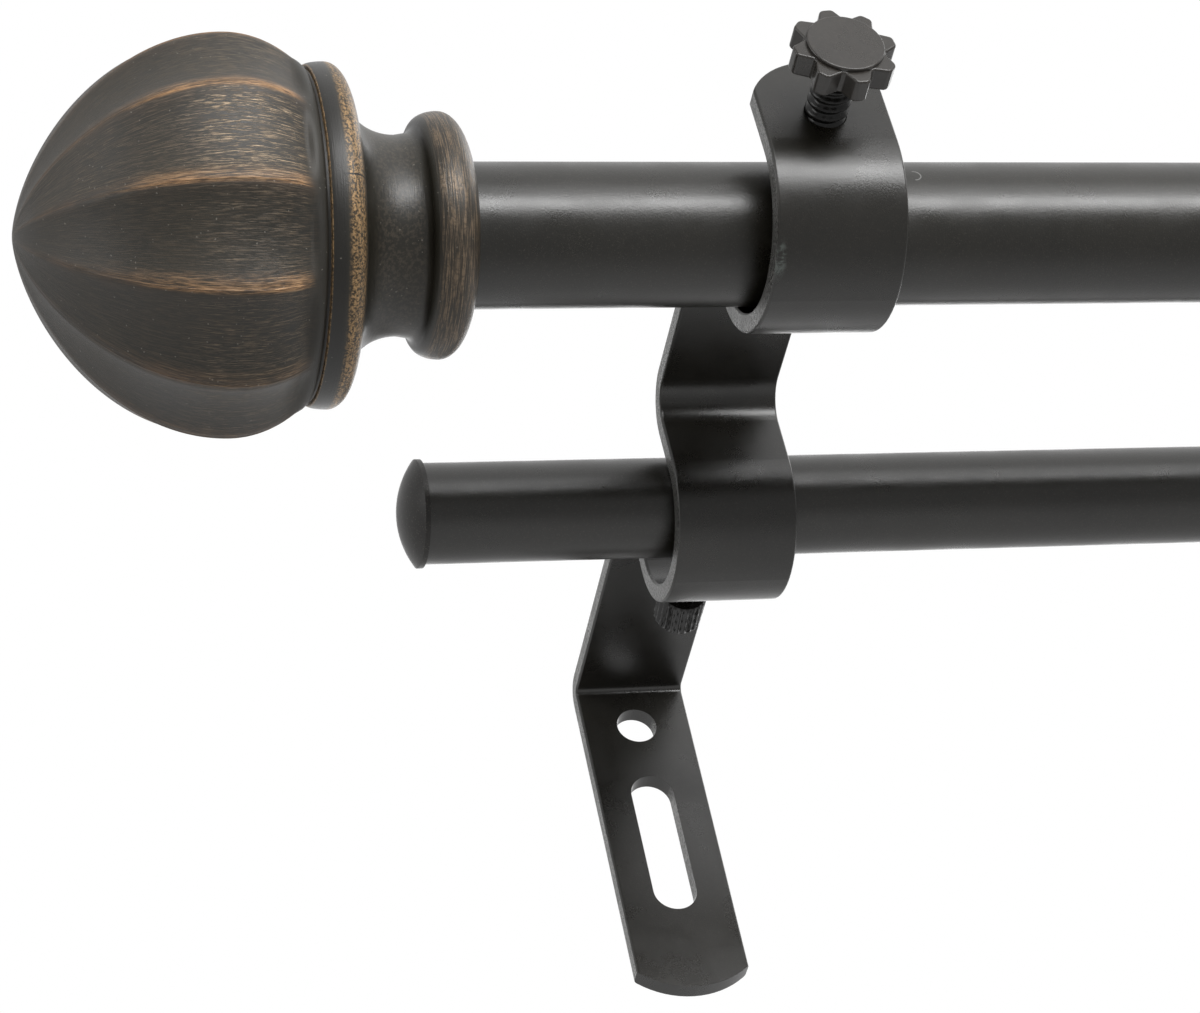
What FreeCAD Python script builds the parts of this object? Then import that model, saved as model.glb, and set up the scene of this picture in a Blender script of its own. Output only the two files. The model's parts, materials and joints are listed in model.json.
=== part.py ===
import FreeCAD, Part
import math
import os
from FreeCAD import Vector

# A double curtain pole: two bent strip brackets carry a thick front pole with ball
# finials and a thin rear pole with domed end caps. Millimetres. X runs along the
# poles, the wall is the plane Y = 0 with the room on its -Y side, and Z is up.
# The origin lies midway between the round screw holes of the two brackets.

# Brackets, each one steel strip folded into a wall plate, two arms, two cups and a tab
bracket_spacing = 600.0
strip_width = 23.0
strip_thickness = 3.6
wall_bend_radius = 1.2        # inside radius of the bend at the wall plate
arm_bend_radius = 5.5         # inside radius of the other bends
edge_rounding = 0.5
wall_to_rear_cup = 79.5
wall_to_front_cup = 160.3
arm_above_hole = 9.6          # underside of the wall arm above the round screw hole
front_arm_drop = 1.8          # underside of the front arm below that of the wall arm
front_cup_drop = 19.6         # underside of the wall arm to the middle of the front cup
rear_cup_drop = 17.3
tab_above_cup = 19.0          # top of the clamp tab above the middle of the front cup
tab_end_radius = 12.8
plate_below_hole = 64.6
plate_end_radius = 18.0
wall_hole_diameter = 8.4
slot_width = 9.0
slot_length = 33.0
slot_above_plate_end = 18.4

# Poles, each an outer tube with a thinner tube sliding in it
front_tube_diameter = 25.0
rear_tube_diameter = 19.0
tube_wall = 0.8
telescope_clearance = 0.3
front_cup_play = 3.3          # cup radius over the outer tube's radius
rear_cup_play = 3.0
seat_clearance = 0.05
front_overhang = 60.5         # middle of a bracket to the end of the front pole
rear_overhang = 57.7
outer_tube_past_middle = 220.0
telescope_overlap = 440.0

# Clamp screws
screw_diameter = 7.4
thread_clearance = 0.05
tip_clearance = 0.3
tip_chamfer = 0.6
front_screw_reach = 20.9      # tip of the screw to the back of its knob
screw_in_knob = 3.6
knob_diameter = 18.4          # over the corners of its lobes, before they are rounded
knob_root_diameter = 14.0
knob_lobes = 8
knob_crown_width = 2.2
knob_valley_width = 0.6
knob_lobe_rounding = 1.0
knob_valley_rounding = 0.4
knob_turn = 8.0               # degrees from the X axis to the first lobe
knob_thickness = 4.4
knob_disc_diameter = 13.4
knob_disc_height = 0.7
knob_edge_rounding = 0.4
knob_disc_rounding = 0.3
rear_screw_diameter = 5.0
rear_screw_above_axis = 3.9   # above the axis of the rear pole
rear_screw_reach = 20.9       # tip of the screw to the near face of its head
rear_head_diameter = 9.5
rear_head_length = 7.6
knurl_teeth = 22
knurl_depth = 0.4
knurl_lean = -6.0             # degrees that a tooth turns over the head's length

# Finials, cast in one piece: a twelve-sided fluted ball on a turned neck.
# Lengths run from the end of the pole, radii from its axis.
ridge_count = 12
ball_radius = 34.6
ball_middle = 41.4
ball_length = 33.9            # middle of the ball to its tip
ball_shoulder = 23.8          # half length of the ellipse on the neck side
dome_taper = 1.3              # how pointed the dome is: 1 is an ellipse, 2 a parabola
flute_depth = 0.03            # hollow of a panel below its flat chord, per radius
flute_runout = 3.0
tip_flat_radius = 1.0
seam_place = 27.7
seam_depth = 0.6
seam_width = 0.6
bead_radius = 29.0
bead_middle = 23.9
cove_radius = 16.9
cove_middle = 11.9
flange_radius = 20.9
flange_middle = 4.6
flange_end_radius = 12.8
bead_length = 3.2             # crown of the bead to its neck side
cove_rise = 7.4               # cove's floor to its edge at the bead
flange_length = 4.1           # crown of the flange to its crease with the cove
flange_crease = 1.7           # height of that crease over the cove's floor

# Fixing of the finials and of the rear caps
stud_diameter = 6.0
stud_in_finial = 16.0
stud_in_plug = 14.0
stud_end_room = 1.0           # tapped depth of the plug past the stud's end
plug_length = 18.0
plug_clearance = 0.05
cap_diameter = 20.4
cap_rim = 0.9
cap_dome = 3.4
cap_spigot_length = 12.0
cap_spigot_wall = 1.4

# How finely the ball is lofted, and the handle length that bends a quarter ellipse
shoulder_steps = 4
dome_steps = 8
ellipse_handle = 0.5523
same_place = 1e-6

# Sizes worked out from the ones above
half_spacing = bracket_spacing / 2
half_strip = strip_thickness / 2
wall_arm_z = arm_above_hole + half_strip
front_arm_z = wall_arm_z - front_arm_drop
front_z = arm_above_hole - front_cup_drop
rear_z = arm_above_hole - rear_cup_drop
front_screw_z = front_z + tab_above_cup - tab_end_radius
rear_screw_z = rear_z + rear_screw_above_axis
front_tube_radius = front_tube_diameter / 2
rear_tube_radius = rear_tube_diameter / 2
front_cup_radius = front_tube_radius + front_cup_play
rear_cup_radius = rear_tube_radius + rear_cup_play
front_y = -wall_to_front_cup + front_cup_play - seat_clearance
rear_y = -wall_to_rear_cup - rear_cup_play + seat_clearance
front_inner_radius = front_tube_radius - tube_wall - telescope_clearance
rear_inner_radius = rear_tube_radius - tube_wall - telescope_clearance
front_end = half_spacing + front_overhang
rear_end = half_spacing + rear_overhang
inner_tube_end = outer_tube_past_middle - telescope_overlap
tab_outer_y = -wall_to_front_cup - front_cup_radius - strip_thickness
rear_limb_outer_y = -wall_to_rear_cup + rear_cup_radius + strip_thickness


def rod_x(x0, x1, radius, y, z):
    """Solid round bar along X."""
    return Part.makeCylinder(radius, x1 - x0, Vector(x0, y, z), Vector(1, 0, 0))


def rod_y(y0, y1, radius, x, z):
    """Solid round bar along Y."""
    return Part.makeCylinder(radius, y1 - y0, Vector(x, y0, z), Vector(0, 1, 0))


def tube_x(x0, x1, radius, wall, y, z):
    return rod_x(x0, x1, radius, y, z).cut(rod_x(x0, x1, radius - wall, y, z))


def mirrored(shape):
    """The same piece at the other end of the poles."""
    return shape.mirror(Vector(0, 0, 0), Vector(1, 0, 0))


def bend_places(path):
    """Straight runs and bends of a strip's centreline, from corners (y, z, radius)."""
    runs, bends = [], []
    start = Vector(0, path[0][0], path[0][1])
    for before, corner, after in zip(path, path[1:], path[2:]):
        middle = Vector(0, corner[0], corner[1])
        back = (Vector(0, before[0], before[1]) - middle).normalize()
        ahead = (Vector(0, after[0], after[1]) - middle).normalize()
        reach = corner[2] * math.tan((math.pi - back.getAngle(ahead)) / 2)
        runs.append((start, middle + back * reach, back * -1))
        centre = middle + (back + ahead).normalize() * math.hypot(reach, corner[2])
        bends.append((centre, middle))
        start = middle + ahead * reach
    end = Vector(0, path[-1][0], path[-1][1])
    runs.append((start, end, (end - start).normalize()))
    return runs, bends


def strip_side(runs, bends, shift):
    """Edges of one face of the strip, at a signed distance from the centreline."""
    edges = []
    for index, (start, end, heading) in enumerate(runs):
        aside = Vector(0, -heading.z, heading.y) * shift
        if (end - start).Length > same_place:
            edges.append(Part.LineSegment(start + aside, end + aside).toShape())
        if index < len(bends):
            centre, middle = bends[index]
            following = runs[index + 1]
            aside_after = Vector(0, -following[2].z, following[2].y) * shift
            first, last = end + aside, following[0] + aside_after
            outward = (middle - centre).normalize()
            crown = centre + outward * (first - centre).Length
            edges.append(Part.Arc(first, crown, last).toShape())
    return edges


def folded_strip(path, thickness, width):
    """A flat strip folded along a path in the YZ plane, centred on X = 0."""
    runs, bends = bend_places(path)
    near = strip_side(runs, bends, thickness / 2)
    far = strip_side(runs, bends, -thickness / 2)
    first_end = Part.LineSegment(far[0].Vertexes[0].Point, near[0].Vertexes[0].Point)
    last_end = Part.LineSegment(near[-1].Vertexes[-1].Point, far[-1].Vertexes[-1].Point)
    edges = near + [last_end.toShape()] + far + [first_end.toShape()]
    face = Part.Face(Part.Wire(Part.__sortEdges__(edges)))
    solid = face.extrude(Vector(width, 0, 0))
    solid.translate(Vector(-width / 2, 0, 0))
    return solid


def end_trim(z_end, direction, radius, y0, y1):
    """Waste beyond a rounded strip end: outside an arc whose crown is at z_end."""
    centre_z = z_end - direction * radius
    low, high = sorted((centre_z, z_end + direction * strip_thickness))
    corner = Vector(-strip_width, y0, low)
    block = Part.makeBox(2 * strip_width, y1 - y0, high - low, corner)
    return block.cut(rod_y(y0, y1, radius, 0, centre_z))


def strip_path():
    """Corners of the strip's centreline from the tab to the foot of the wall plate."""
    front_mid = front_cup_radius + half_strip
    rear_mid = rear_cup_radius + half_strip
    arm_bend, wall_bend = arm_bend_radius + half_strip, wall_bend_radius + half_strip
    front_room, front_wall = -wall_to_front_cup - front_mid, -wall_to_front_cup + front_mid
    rear_room, rear_wall = -wall_to_rear_cup - rear_mid, -wall_to_rear_cup + rear_mid
    return [
        (front_room, front_z + tab_above_cup, 0),
        (front_room, front_z - front_mid, front_mid),
        (front_wall, front_z - front_mid, front_mid),
        (front_wall, front_arm_z, arm_bend),
        (rear_room, front_arm_z, arm_bend),
        (rear_room, rear_z - rear_mid, rear_mid),
        (rear_wall, rear_z - rear_mid, rear_mid),
        (rear_wall, wall_arm_z, arm_bend),
        (-half_strip, wall_arm_z, wall_bend),
        (-half_strip, -plate_below_hole, 0),
    ]


def slot_cutter():
    """The long screw slot of a wall plate, as a solid through the plate."""
    radius = slot_width / 2
    low = -plate_below_hole + slot_above_plate_end + radius
    high = low + slot_length - slot_width
    y0, y1 = -2 * strip_thickness, strip_thickness
    middle = Part.makeBox(slot_width, y1 - y0, high - low, Vector(-radius, y0, low))
    return middle.fuse([rod_y(y0, y1, radius, 0, low), rod_y(y0, y1, radius, 0, high)])


def rounded_edges(solid):
    """Break the strip's long edges, which all lie in its two side planes."""
    half = strip_width / 2
    sides = [e for e in solid.Edges
             if e.BoundBox.XLength < same_place
             and abs(abs(e.CenterOfMass.x) - half) < same_place]
    long_sides = [e for e in sides if e.Length > strip_thickness + same_place]
    return solid.makeFillet(edge_rounding, long_sides)


def bracket():
    """One bracket at X = 0, with its screw holes and tapped clamp holes."""
    strip = folded_strip(strip_path(), strip_thickness, strip_width)
    strip = rounded_edges(strip)
    tab_y1 = tab_outer_y + 2 * strip_thickness
    tab_top = front_z + tab_above_cup
    trims = [
        end_trim(tab_top, 1, tab_end_radius, tab_outer_y - strip_thickness, tab_y1),
        end_trim(-plate_below_hole, -1, plate_end_radius, -2 * strip_thickness, strip_thickness),
        rod_y(-2 * strip_thickness, strip_thickness, wall_hole_diameter / 2, 0, 0),
        slot_cutter(),
        rod_y(tab_outer_y - strip_thickness, tab_y1, screw_diameter / 2 + thread_clearance,
              0, front_screw_z),
        rod_y(rear_limb_outer_y - 2 * strip_thickness, rear_limb_outer_y + strip_thickness,
              rear_screw_diameter / 2 + thread_clearance, 0, rear_screw_z),
    ]
    return strip.cut(trims)


def knob_outline(x, y, z):
    """Star of lobes and valleys across Y, with two corners to each crown and each root."""
    pitch = 2 * math.pi / knob_lobes
    corners = []
    for index in range(2 * knob_lobes):
        diameter, width = ((knob_root_diameter, knob_valley_width) if index % 2
                           else (knob_diameter, knob_crown_width))
        middle = math.radians(knob_turn) + index * pitch / 2
        half = math.asin(width / diameter)
        for angle in (middle - half, middle + half):
            corners.append(Vector(x + diameter / 2 * math.cos(angle), y,
                                  z + diameter / 2 * math.sin(angle)))
    return Part.Face(Part.makePolygon(corners + corners[:1]))


def clamp_knob(x, back_y, z):
    """Lobed knob whose back face is at back_y; its face looks into the room."""
    face_y = back_y - knob_thickness
    body = knob_outline(x, face_y, z).extrude(Vector(0, knob_thickness, 0))
    crowns, valleys = [], []
    between = (knob_diameter + knob_root_diameter) / 4
    for edge in body.Edges:
        if edge.BoundBox.YLength > knob_thickness / 2:
            middle = edge.CenterOfMass
            far_out = math.hypot(middle.x - x, middle.z - z) > between
            (crowns if far_out else valleys).append(edge)
    body = body.makeFillet(knob_lobe_rounding, crowns)
    valleys = [e for e in body.Edges if any(e.CenterOfMass.distanceToPoint(v.CenterOfMass)
                                            < same_place for v in valleys)]
    body = body.makeFillet(knob_valley_rounding, valleys)
    rims = [e for e in body.Edges if e.BoundBox.YLength < same_place]
    body = body.makeFillet(knob_edge_rounding, rims)
    disc_y = face_y - knob_disc_height
    disc = rod_y(disc_y, back_y - knob_edge_rounding, knob_disc_diameter / 2, x, z)
    face_rim = [e for e in disc.Edges if abs(e.CenterOfMass.y - disc_y) < same_place
                and e.BoundBox.YLength < same_place]
    disc = disc.makeFillet(knob_disc_rounding, face_rim)
    body = body.fuse(disc).removeSplitter()
    bore_radius = screw_diameter / 2 + thread_clearance
    return body.cut(rod_y(back_y - screw_in_knob, back_y, bore_radius, x, z))


def chamfered_screw(tip_y, end_y, radius, x, z):
    """Threaded rod along Y from its chamfered tip to its plain end."""
    low, high = sorted((tip_y, end_y))
    rod = rod_y(low, high, radius, x, z)
    tip = [e for e in rod.Edges if abs(e.CenterOfMass.y - tip_y) < same_place
           and e.BoundBox.YLength < same_place]
    return rod.makeChamfer(tip_chamfer, tip)


def knurled_head(x, y0, y1, z):
    """Round head with leaning knurl teeth between its two end faces."""
    def ring(y, turn, crest, root):
        points = []
        for index in range(2 * knurl_teeth):
            angle = math.radians(turn) + math.pi * index / knurl_teeth
            radius = root if index % 2 else crest
            points.append(Vector(x + radius * math.cos(angle), y, z + radius * math.sin(angle)))
        return Part.makePolygon(points + points[:1])
    crest = rear_head_diameter / 2
    root = crest - knurl_depth
    knurl = Part.makeLoft([ring(y0, 0, crest, root), ring(y1, knurl_lean, crest, root)],
                          True, True)
    blank = rod_y(y0, y1, crest, x, z)
    rims = [e for e in blank.Edges if e.BoundBox.YLength < same_place]
    return knurl.common(blank.makeChamfer(knurl_depth, rims))


def reach_at_tip(pole_radius, above_axis, diameter):
    """Pole's axis to the tip of a screw above it, whose lower rim meets the pole first."""
    rim_above_axis = above_axis - diameter / 2 + tip_chamfer
    return math.sqrt(pole_radius ** 2 - rim_above_axis ** 2) + tip_clearance


def rear_clamp_screw(x, pole_radius):
    """Knurled thumbscrew in the wall-side limb of a rear cup."""
    tip_y = rear_y + reach_at_tip(pole_radius, rear_screw_above_axis, rear_screw_diameter)
    head_y = tip_y + rear_screw_reach
    shank = chamfered_screw(tip_y, head_y, rear_screw_diameter / 2, x, rear_screw_z)
    head = knurled_head(x, head_y, head_y + rear_head_length, rear_screw_z)
    return shank.fuse(head).removeSplitter()


def front_clamp(x, pole_radius):
    """Screw and knob of a front cup, clamping a pole of the given radius."""
    above_axis = front_screw_z - front_z
    tip_y = front_y - reach_at_tip(pole_radius, above_axis, screw_diameter)
    back_y = tip_y - front_screw_reach
    end_y = back_y - screw_in_knob
    screw = chamfered_screw(tip_y, end_y, screw_diameter / 2, x, front_screw_z)
    return screw, clamp_knob(x, back_y, front_screw_z)


def ball_section(place, radius, hollow):
    """Wire across the ball: twelve arcs between ridges, hollow below their chords."""
    step = 2 * math.pi / ridge_count
    valley = radius * (1 - hollow * (1 - math.cos(step / 2) + flute_depth))
    edges = []
    for index in range(ridge_count):
        corners = [(radius, index * step), (valley, (index + 0.5) * step),
                   (radius, (index + 1) * step)]
        points = [Vector(-place, r * math.cos(a), r * math.sin(a)) for r, a in corners]
        edges.append(Part.Arc(*points).toShape())
    return Part.Wire(edges)


def fluted_ball():
    """The ball from the seam to a small flat at its tip, its axis along -X."""
    sections = []
    seam_angle = math.asin((ball_middle - seam_place) / ball_shoulder)
    for step in range(shoulder_steps):
        angle = seam_angle * (1 - step / shoulder_steps)
        place = ball_middle - ball_shoulder * math.sin(angle)
        hollow = min(1.0, (place - seam_place) / flute_runout)
        sections.append(ball_section(place, ball_radius * math.cos(angle), hollow))
    last = math.acos((tip_flat_radius / ball_radius) ** (1 / dome_taper))
    for step in range(dome_steps + 1):
        angle = last * step / dome_steps
        place = ball_middle + ball_length * math.sin(angle)
        radius = ball_radius * math.cos(angle) ** dome_taper
        sections.append(ball_section(place, radius, 1.0))
    return Part.makeLoft(sections, True, False)


def quarter(flank, crown):
    """Quarter of an ellipse that leaves a flank square to the axis and meets a crown."""
    leave = Vector(flank.x, 0, flank.z + (crown.z - flank.z) * ellipse_handle)
    arrive = Vector(crown.x + (flank.x - crown.x) * ellipse_handle, 0, crown.z)
    curve = Part.BezierCurve()
    curve.setPoles([flank, leave, arrive, crown])
    return curve.toShape()


def turned_neck():
    """Bead, cove and flange between the ball and the pole, turned about X."""
    seam_angle = math.asin((ball_middle - seam_place) / ball_shoulder)
    seam_radius = ball_radius * math.cos(seam_angle)
    core = Vector(-seam_place - seam_width, 0, 0)
    core_top = core + Vector(0, 0, seam_radius - seam_depth)
    bead_foot = Vector(-seam_place + seam_width, 0, core_top.z)
    bead_edge = Vector(bead_foot.x, 0, seam_radius)
    bead_top = Vector(-bead_middle, 0, bead_radius)
    cove_edge = Vector(-bead_middle + bead_length, 0, cove_radius + cove_rise)
    cove_floor = Vector(-cove_middle, 0, cove_radius)
    flange_edge = Vector(-flange_middle - flange_length, 0, cove_radius + flange_crease)
    flange_top = Vector(-flange_middle, 0, flange_radius)
    flange_end = Vector(0, 0, flange_end_radius)
    edges = Part.makePolygon([Vector(0, 0, 0), core, core_top, bead_foot, bead_edge]).Edges
    edges += [
        quarter(bead_edge, bead_top),
        quarter(cove_edge, bead_top),
        quarter(cove_edge, cove_floor),
        Part.LineSegment(cove_floor, flange_edge).toShape(),
        quarter(flange_edge, flange_top),
        quarter(flange_end, flange_top),
        Part.LineSegment(flange_end, Vector(0, 0, 0)).toShape(),
    ]
    face = Part.Face(Part.Wire(Part.__sortEdges__(edges)))
    return face.revolve(Vector(0, 0, 0), Vector(1, 0, 0), 360)


def finial_left():
    """Fluted ball and neck in one casting, bored for its stud, on the left pole end."""
    casting = fluted_ball().fuse(turned_neck())
    bore = rod_x(-stud_in_finial, 0, stud_diameter / 2 + thread_clearance, 0, 0)
    casting = casting.cut(bore)
    casting.translate(Vector(-front_end, front_y, front_z))
    return casting


def finial_stud_left():
    """Threaded stud that joins a finial to the plug in the pole."""
    return rod_x(-front_end - stud_in_finial, -front_end + stud_in_plug,
                 stud_diameter / 2, front_y, front_z)


def end_plug(bore_radius):
    """Plug pressed in the left end of a front tube, tapped for the stud."""
    plug = rod_x(-front_end, -front_end + plug_length, bore_radius - plug_clearance,
                 front_y, front_z)
    thread = rod_x(-front_end, -front_end + stud_in_plug + stud_end_room,
                   stud_diameter / 2 + thread_clearance, front_y, front_z)
    return plug.cut(thread)


def rear_cap(bore_radius):
    """Domed cap on the left end of a rear tube, with a hollow spigot inside it."""
    radius = cap_diameter / 2
    rim = rod_x(-cap_rim, 0, radius, 0, 0)
    dome_radius = (radius ** 2 + cap_dome ** 2) / (2 * cap_dome)
    ball = Part.makeSphere(dome_radius, Vector(-cap_rim - cap_dome + dome_radius, 0, 0))
    dome = ball.common(rod_x(-cap_rim - cap_dome, -cap_rim, radius, 0, 0))
    spigot = tube_x(-cap_rim / 2, cap_spigot_length, bore_radius - plug_clearance,
                    cap_spigot_wall, 0, 0)
    cap = rim.fuse([dome, spigot]).removeSplitter()
    cap.translate(Vector(-rear_end, rear_y, rear_z))
    return cap


def build_nodes():
    """Every piece by its name."""
    nodes = {}
    left, right = -half_spacing, half_spacing
    plain_bracket = bracket()
    nodes["bracket_left"] = plain_bracket.translated(Vector(left, 0, 0))
    nodes["bracket_right"] = plain_bracket.translated(Vector(right, 0, 0))

    nodes["front_pole_outer_tube"] = tube_x(-front_end, outer_tube_past_middle, front_tube_radius,
                                            tube_wall, front_y, front_z)
    nodes["front_pole_inner_tube"] = tube_x(inner_tube_end, front_end, front_inner_radius,
                                            tube_wall, front_y, front_z)
    nodes["rear_pole_outer_tube"] = tube_x(-rear_end, outer_tube_past_middle, rear_tube_radius,
                                           tube_wall, rear_y, rear_z)
    nodes["rear_pole_inner_tube"] = tube_x(inner_tube_end, rear_end, rear_inner_radius,
                                           tube_wall, rear_y, rear_z)

    clamps = {"left": (left, front_tube_radius, rear_tube_radius),
              "right": (right, front_inner_radius, rear_inner_radius)}
    for side, (x, front_radius, rear_radius) in clamps.items():
        screw, knob = front_clamp(x, front_radius)
        nodes["front_clamp_screw_" + side] = screw
        nodes["front_clamp_knob_" + side] = knob
        nodes["rear_clamp_screw_" + side] = rear_clamp_screw(x, rear_radius)

    nodes["finial_left"] = finial_left()
    nodes["finial_right"] = mirrored(nodes["finial_left"])
    nodes["finial_stud_left"] = finial_stud_left()
    nodes["finial_stud_right"] = mirrored(nodes["finial_stud_left"])
    nodes["front_end_plug_left"] = end_plug(front_tube_radius - tube_wall)
    nodes["front_end_plug_right"] = mirrored(end_plug(front_inner_radius - tube_wall))
    nodes["rear_end_cap_left"] = rear_cap(rear_tube_radius - tube_wall)
    nodes["rear_end_cap_right"] = mirrored(rear_cap(rear_inner_radius - tube_wall))
    return nodes


os.makedirs("parts", exist_ok=True)
for name, shape in build_nodes().items():
    shape.exportStep("parts/" + name + ".step")
    print(name, "solids", len(shape.Solids), "valid", shape.isValid(),
          "volume", round(shape.Volume, 1))
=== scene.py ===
import json
import math

import bpy
import numpy as np
from mathutils import Matrix, Vector


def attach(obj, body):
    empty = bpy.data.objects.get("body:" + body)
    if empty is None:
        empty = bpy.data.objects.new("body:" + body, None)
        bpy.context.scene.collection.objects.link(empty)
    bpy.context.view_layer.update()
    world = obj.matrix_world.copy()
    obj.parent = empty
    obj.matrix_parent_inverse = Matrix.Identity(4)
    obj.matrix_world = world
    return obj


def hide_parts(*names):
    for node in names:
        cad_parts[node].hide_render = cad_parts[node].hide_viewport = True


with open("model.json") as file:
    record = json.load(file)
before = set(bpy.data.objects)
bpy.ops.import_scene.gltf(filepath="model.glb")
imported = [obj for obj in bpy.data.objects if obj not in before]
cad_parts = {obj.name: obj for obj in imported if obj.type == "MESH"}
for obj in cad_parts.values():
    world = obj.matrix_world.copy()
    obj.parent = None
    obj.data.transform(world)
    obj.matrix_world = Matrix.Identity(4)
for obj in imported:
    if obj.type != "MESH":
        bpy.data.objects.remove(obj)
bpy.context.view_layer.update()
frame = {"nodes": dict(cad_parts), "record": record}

MM = 0.001
# The solids' sizes that the scene's own pieces repeat, in millimetres
HALF_SPACING = 300.0
FRONT_END = 360.5
FRONT_Y, FRONT_Z = -157.05, -10.0
REAR_Y, REAR_Z = -82.45, -7.7
FRONT_TUBE_RADIUS = {"left": 12.5, "right": 11.4}
REAR_TUBE_RADIUS = {"left": 9.5, "right": 8.4}
SCREW_Z = -3.8
# Each cup's middle as y and z, then its strip's middle radius; and a y between the two cups
FRONT_CUP, REAR_CUP, BETWEEN_CUPS = (-160.3, -10.0, 17.6), (-79.5, -7.7, 14.3), -119.0


# Meshes

def grid_mesh(name, rings, attributes, flip, smooth_angle):
    """A closed mesh from rings of points, each an array (count, 3) in millimetres. Edges
    bent by more than smooth_angle degrees stay sharp, and flip turns the faces round."""
    count, around = len(rings), len(rings[0])
    points = np.concatenate(rings) * MM
    quads = []
    for i in range(count - 1):
        for j in range(around):
            k = (j + 1) % around
            a, b = i * around + j, i * around + k
            c, d = (i + 1) * around + k, (i + 1) * around + j
            quads.append((a, d, c, b) if flip else (a, b, c, d))
    first = list(range(around))
    last = list(range((count - 1) * around, count * around))
    ends = [first, last[::-1]] if flip else [first[::-1], last]
    mesh = bpy.data.meshes.new(name)
    mesh.from_pydata([tuple(p) for p in points], [], quads + ends)
    for label, values in attributes.items():
        layer = mesh.attributes.new(label, "FLOAT", "POINT")
        layer.data.foreach_set("value", np.asarray(values, np.float32).ravel())
    mesh.validate()
    mesh.shade_smooth()
    mesh.set_sharp_from_angle(angle=math.radians(smooth_angle))
    piece = bpy.data.objects.new(name, mesh)
    bpy.context.scene.collection.objects.link(piece)
    return piece


# Finials

RIDGES = 12
STEPS_PER_PANEL, STEP_CROWDING = 26, 1.35
SHOULDER_STEPS, DOME_STEPS = 27, 60
# Sizes in millimetres; a place or a middle is measured along the finial from its pole's end
BALL_R, BALL_MIDDLE, BALL_LENGTH, BALL_SHOULDER, DOME_TAPER = 34.6, 41.4, 33.9, 23.8, 1.3
SEAM_PLACE, SEAM_DEPTH, SEAM_WIDTH = 27.7, 0.6, 0.6
BEAD_R, BEAD_MIDDLE, BEAD_LENGTH = 29.0, 23.9, 3.2
COVE_R, COVE_MIDDLE, COVE_RISE = 16.9, 11.9, 7.4
FLANGE_R, FLANGE_MIDDLE, FLANGE_LENGTH, FLANGE_CREASE, FLANGE_END_R = 20.9, 4.6, 4.1, 1.7, 12.8
FLUTE_DEPTH, FLUTE_RUNOUT = 0.03, 3.0
BORE_R, TIP_R = 3.05, 1.0
# A ridge is cut back a little at its crest, less so where the ball is thin
CREST_CUT, CREST_WIDTH, CREST_FULL_R = 0.30, 0.075, 12
RUBBED_PANEL = math.radians(195.0)
CRACK_TURN = math.radians(205.0 - 90.0)


def quarter(flank, crown, steps):
    """Points of a quarter ellipse that leaves the flank radially and meets the crown."""
    handle = 0.5523
    p0, p3 = np.array(flank), np.array(crown)
    p1 = np.array([p0[0], p0[1] + (p3[1] - p0[1]) * handle])
    p2 = np.array([p3[0] + (p0[0] - p3[0]) * handle, p3[1]])
    t = np.linspace(0, 1, steps)[:, None]
    return (1 - t) ** 3 * p0 + 3 * (1 - t) ** 2 * t * p1 + 3 * (1 - t) * t ** 2 * p2 + t ** 3 * p3


def panel_steps():
    """Places across one panel from -1 to 1, closer together at its ridges."""
    t = np.linspace(-1, 1, STEPS_PER_PANEL + 1)[:-1]
    return np.sign(t) * (1 - (1 - np.abs(t)) ** STEP_CROWDING)


def finial_ring(place, radius, hollow):
    """One ring of the finial about its axis, and each point's place across its panel."""
    half = math.pi / RIDGES
    valley = radius * (1 - hollow * (1 - math.cos(half) + FLUTE_DEPTH))
    t = panel_steps()
    if hollow > 0:
        chord_out, chord_half = radius * math.cos(half), radius * math.sin(half)
        flat_out = chord_out + (valley - chord_out) * (1 - t ** 2)
        flat_side = chord_half * t
        round_out, round_side = radius * np.cos(half * t), radius * np.sin(half * t)
        out = round_out * (1 - hollow) + flat_out * hollow
        side = round_side * (1 - hollow) + flat_side * hollow
        share = CREST_CUT * hollow * min(1.0, radius / CREST_FULL_R)
        out = out - share * np.exp(-((1 - np.abs(t)) / CREST_WIDTH) ** 2)
    else:
        out, side = radius * np.cos(half * t), radius * np.sin(half * t)
    points, nearness = [], []
    for index in range(RIDGES):
        middle = (index + 0.5) * 2 * half
        c, s = math.cos(middle), math.sin(middle)
        y = out * c - side * s
        z = out * s + side * c
        points.append(np.stack([np.full_like(y, -place), y, z], axis=1))
        nearness.append(t)
    return np.concatenate(points), np.concatenate(nearness)


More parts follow.
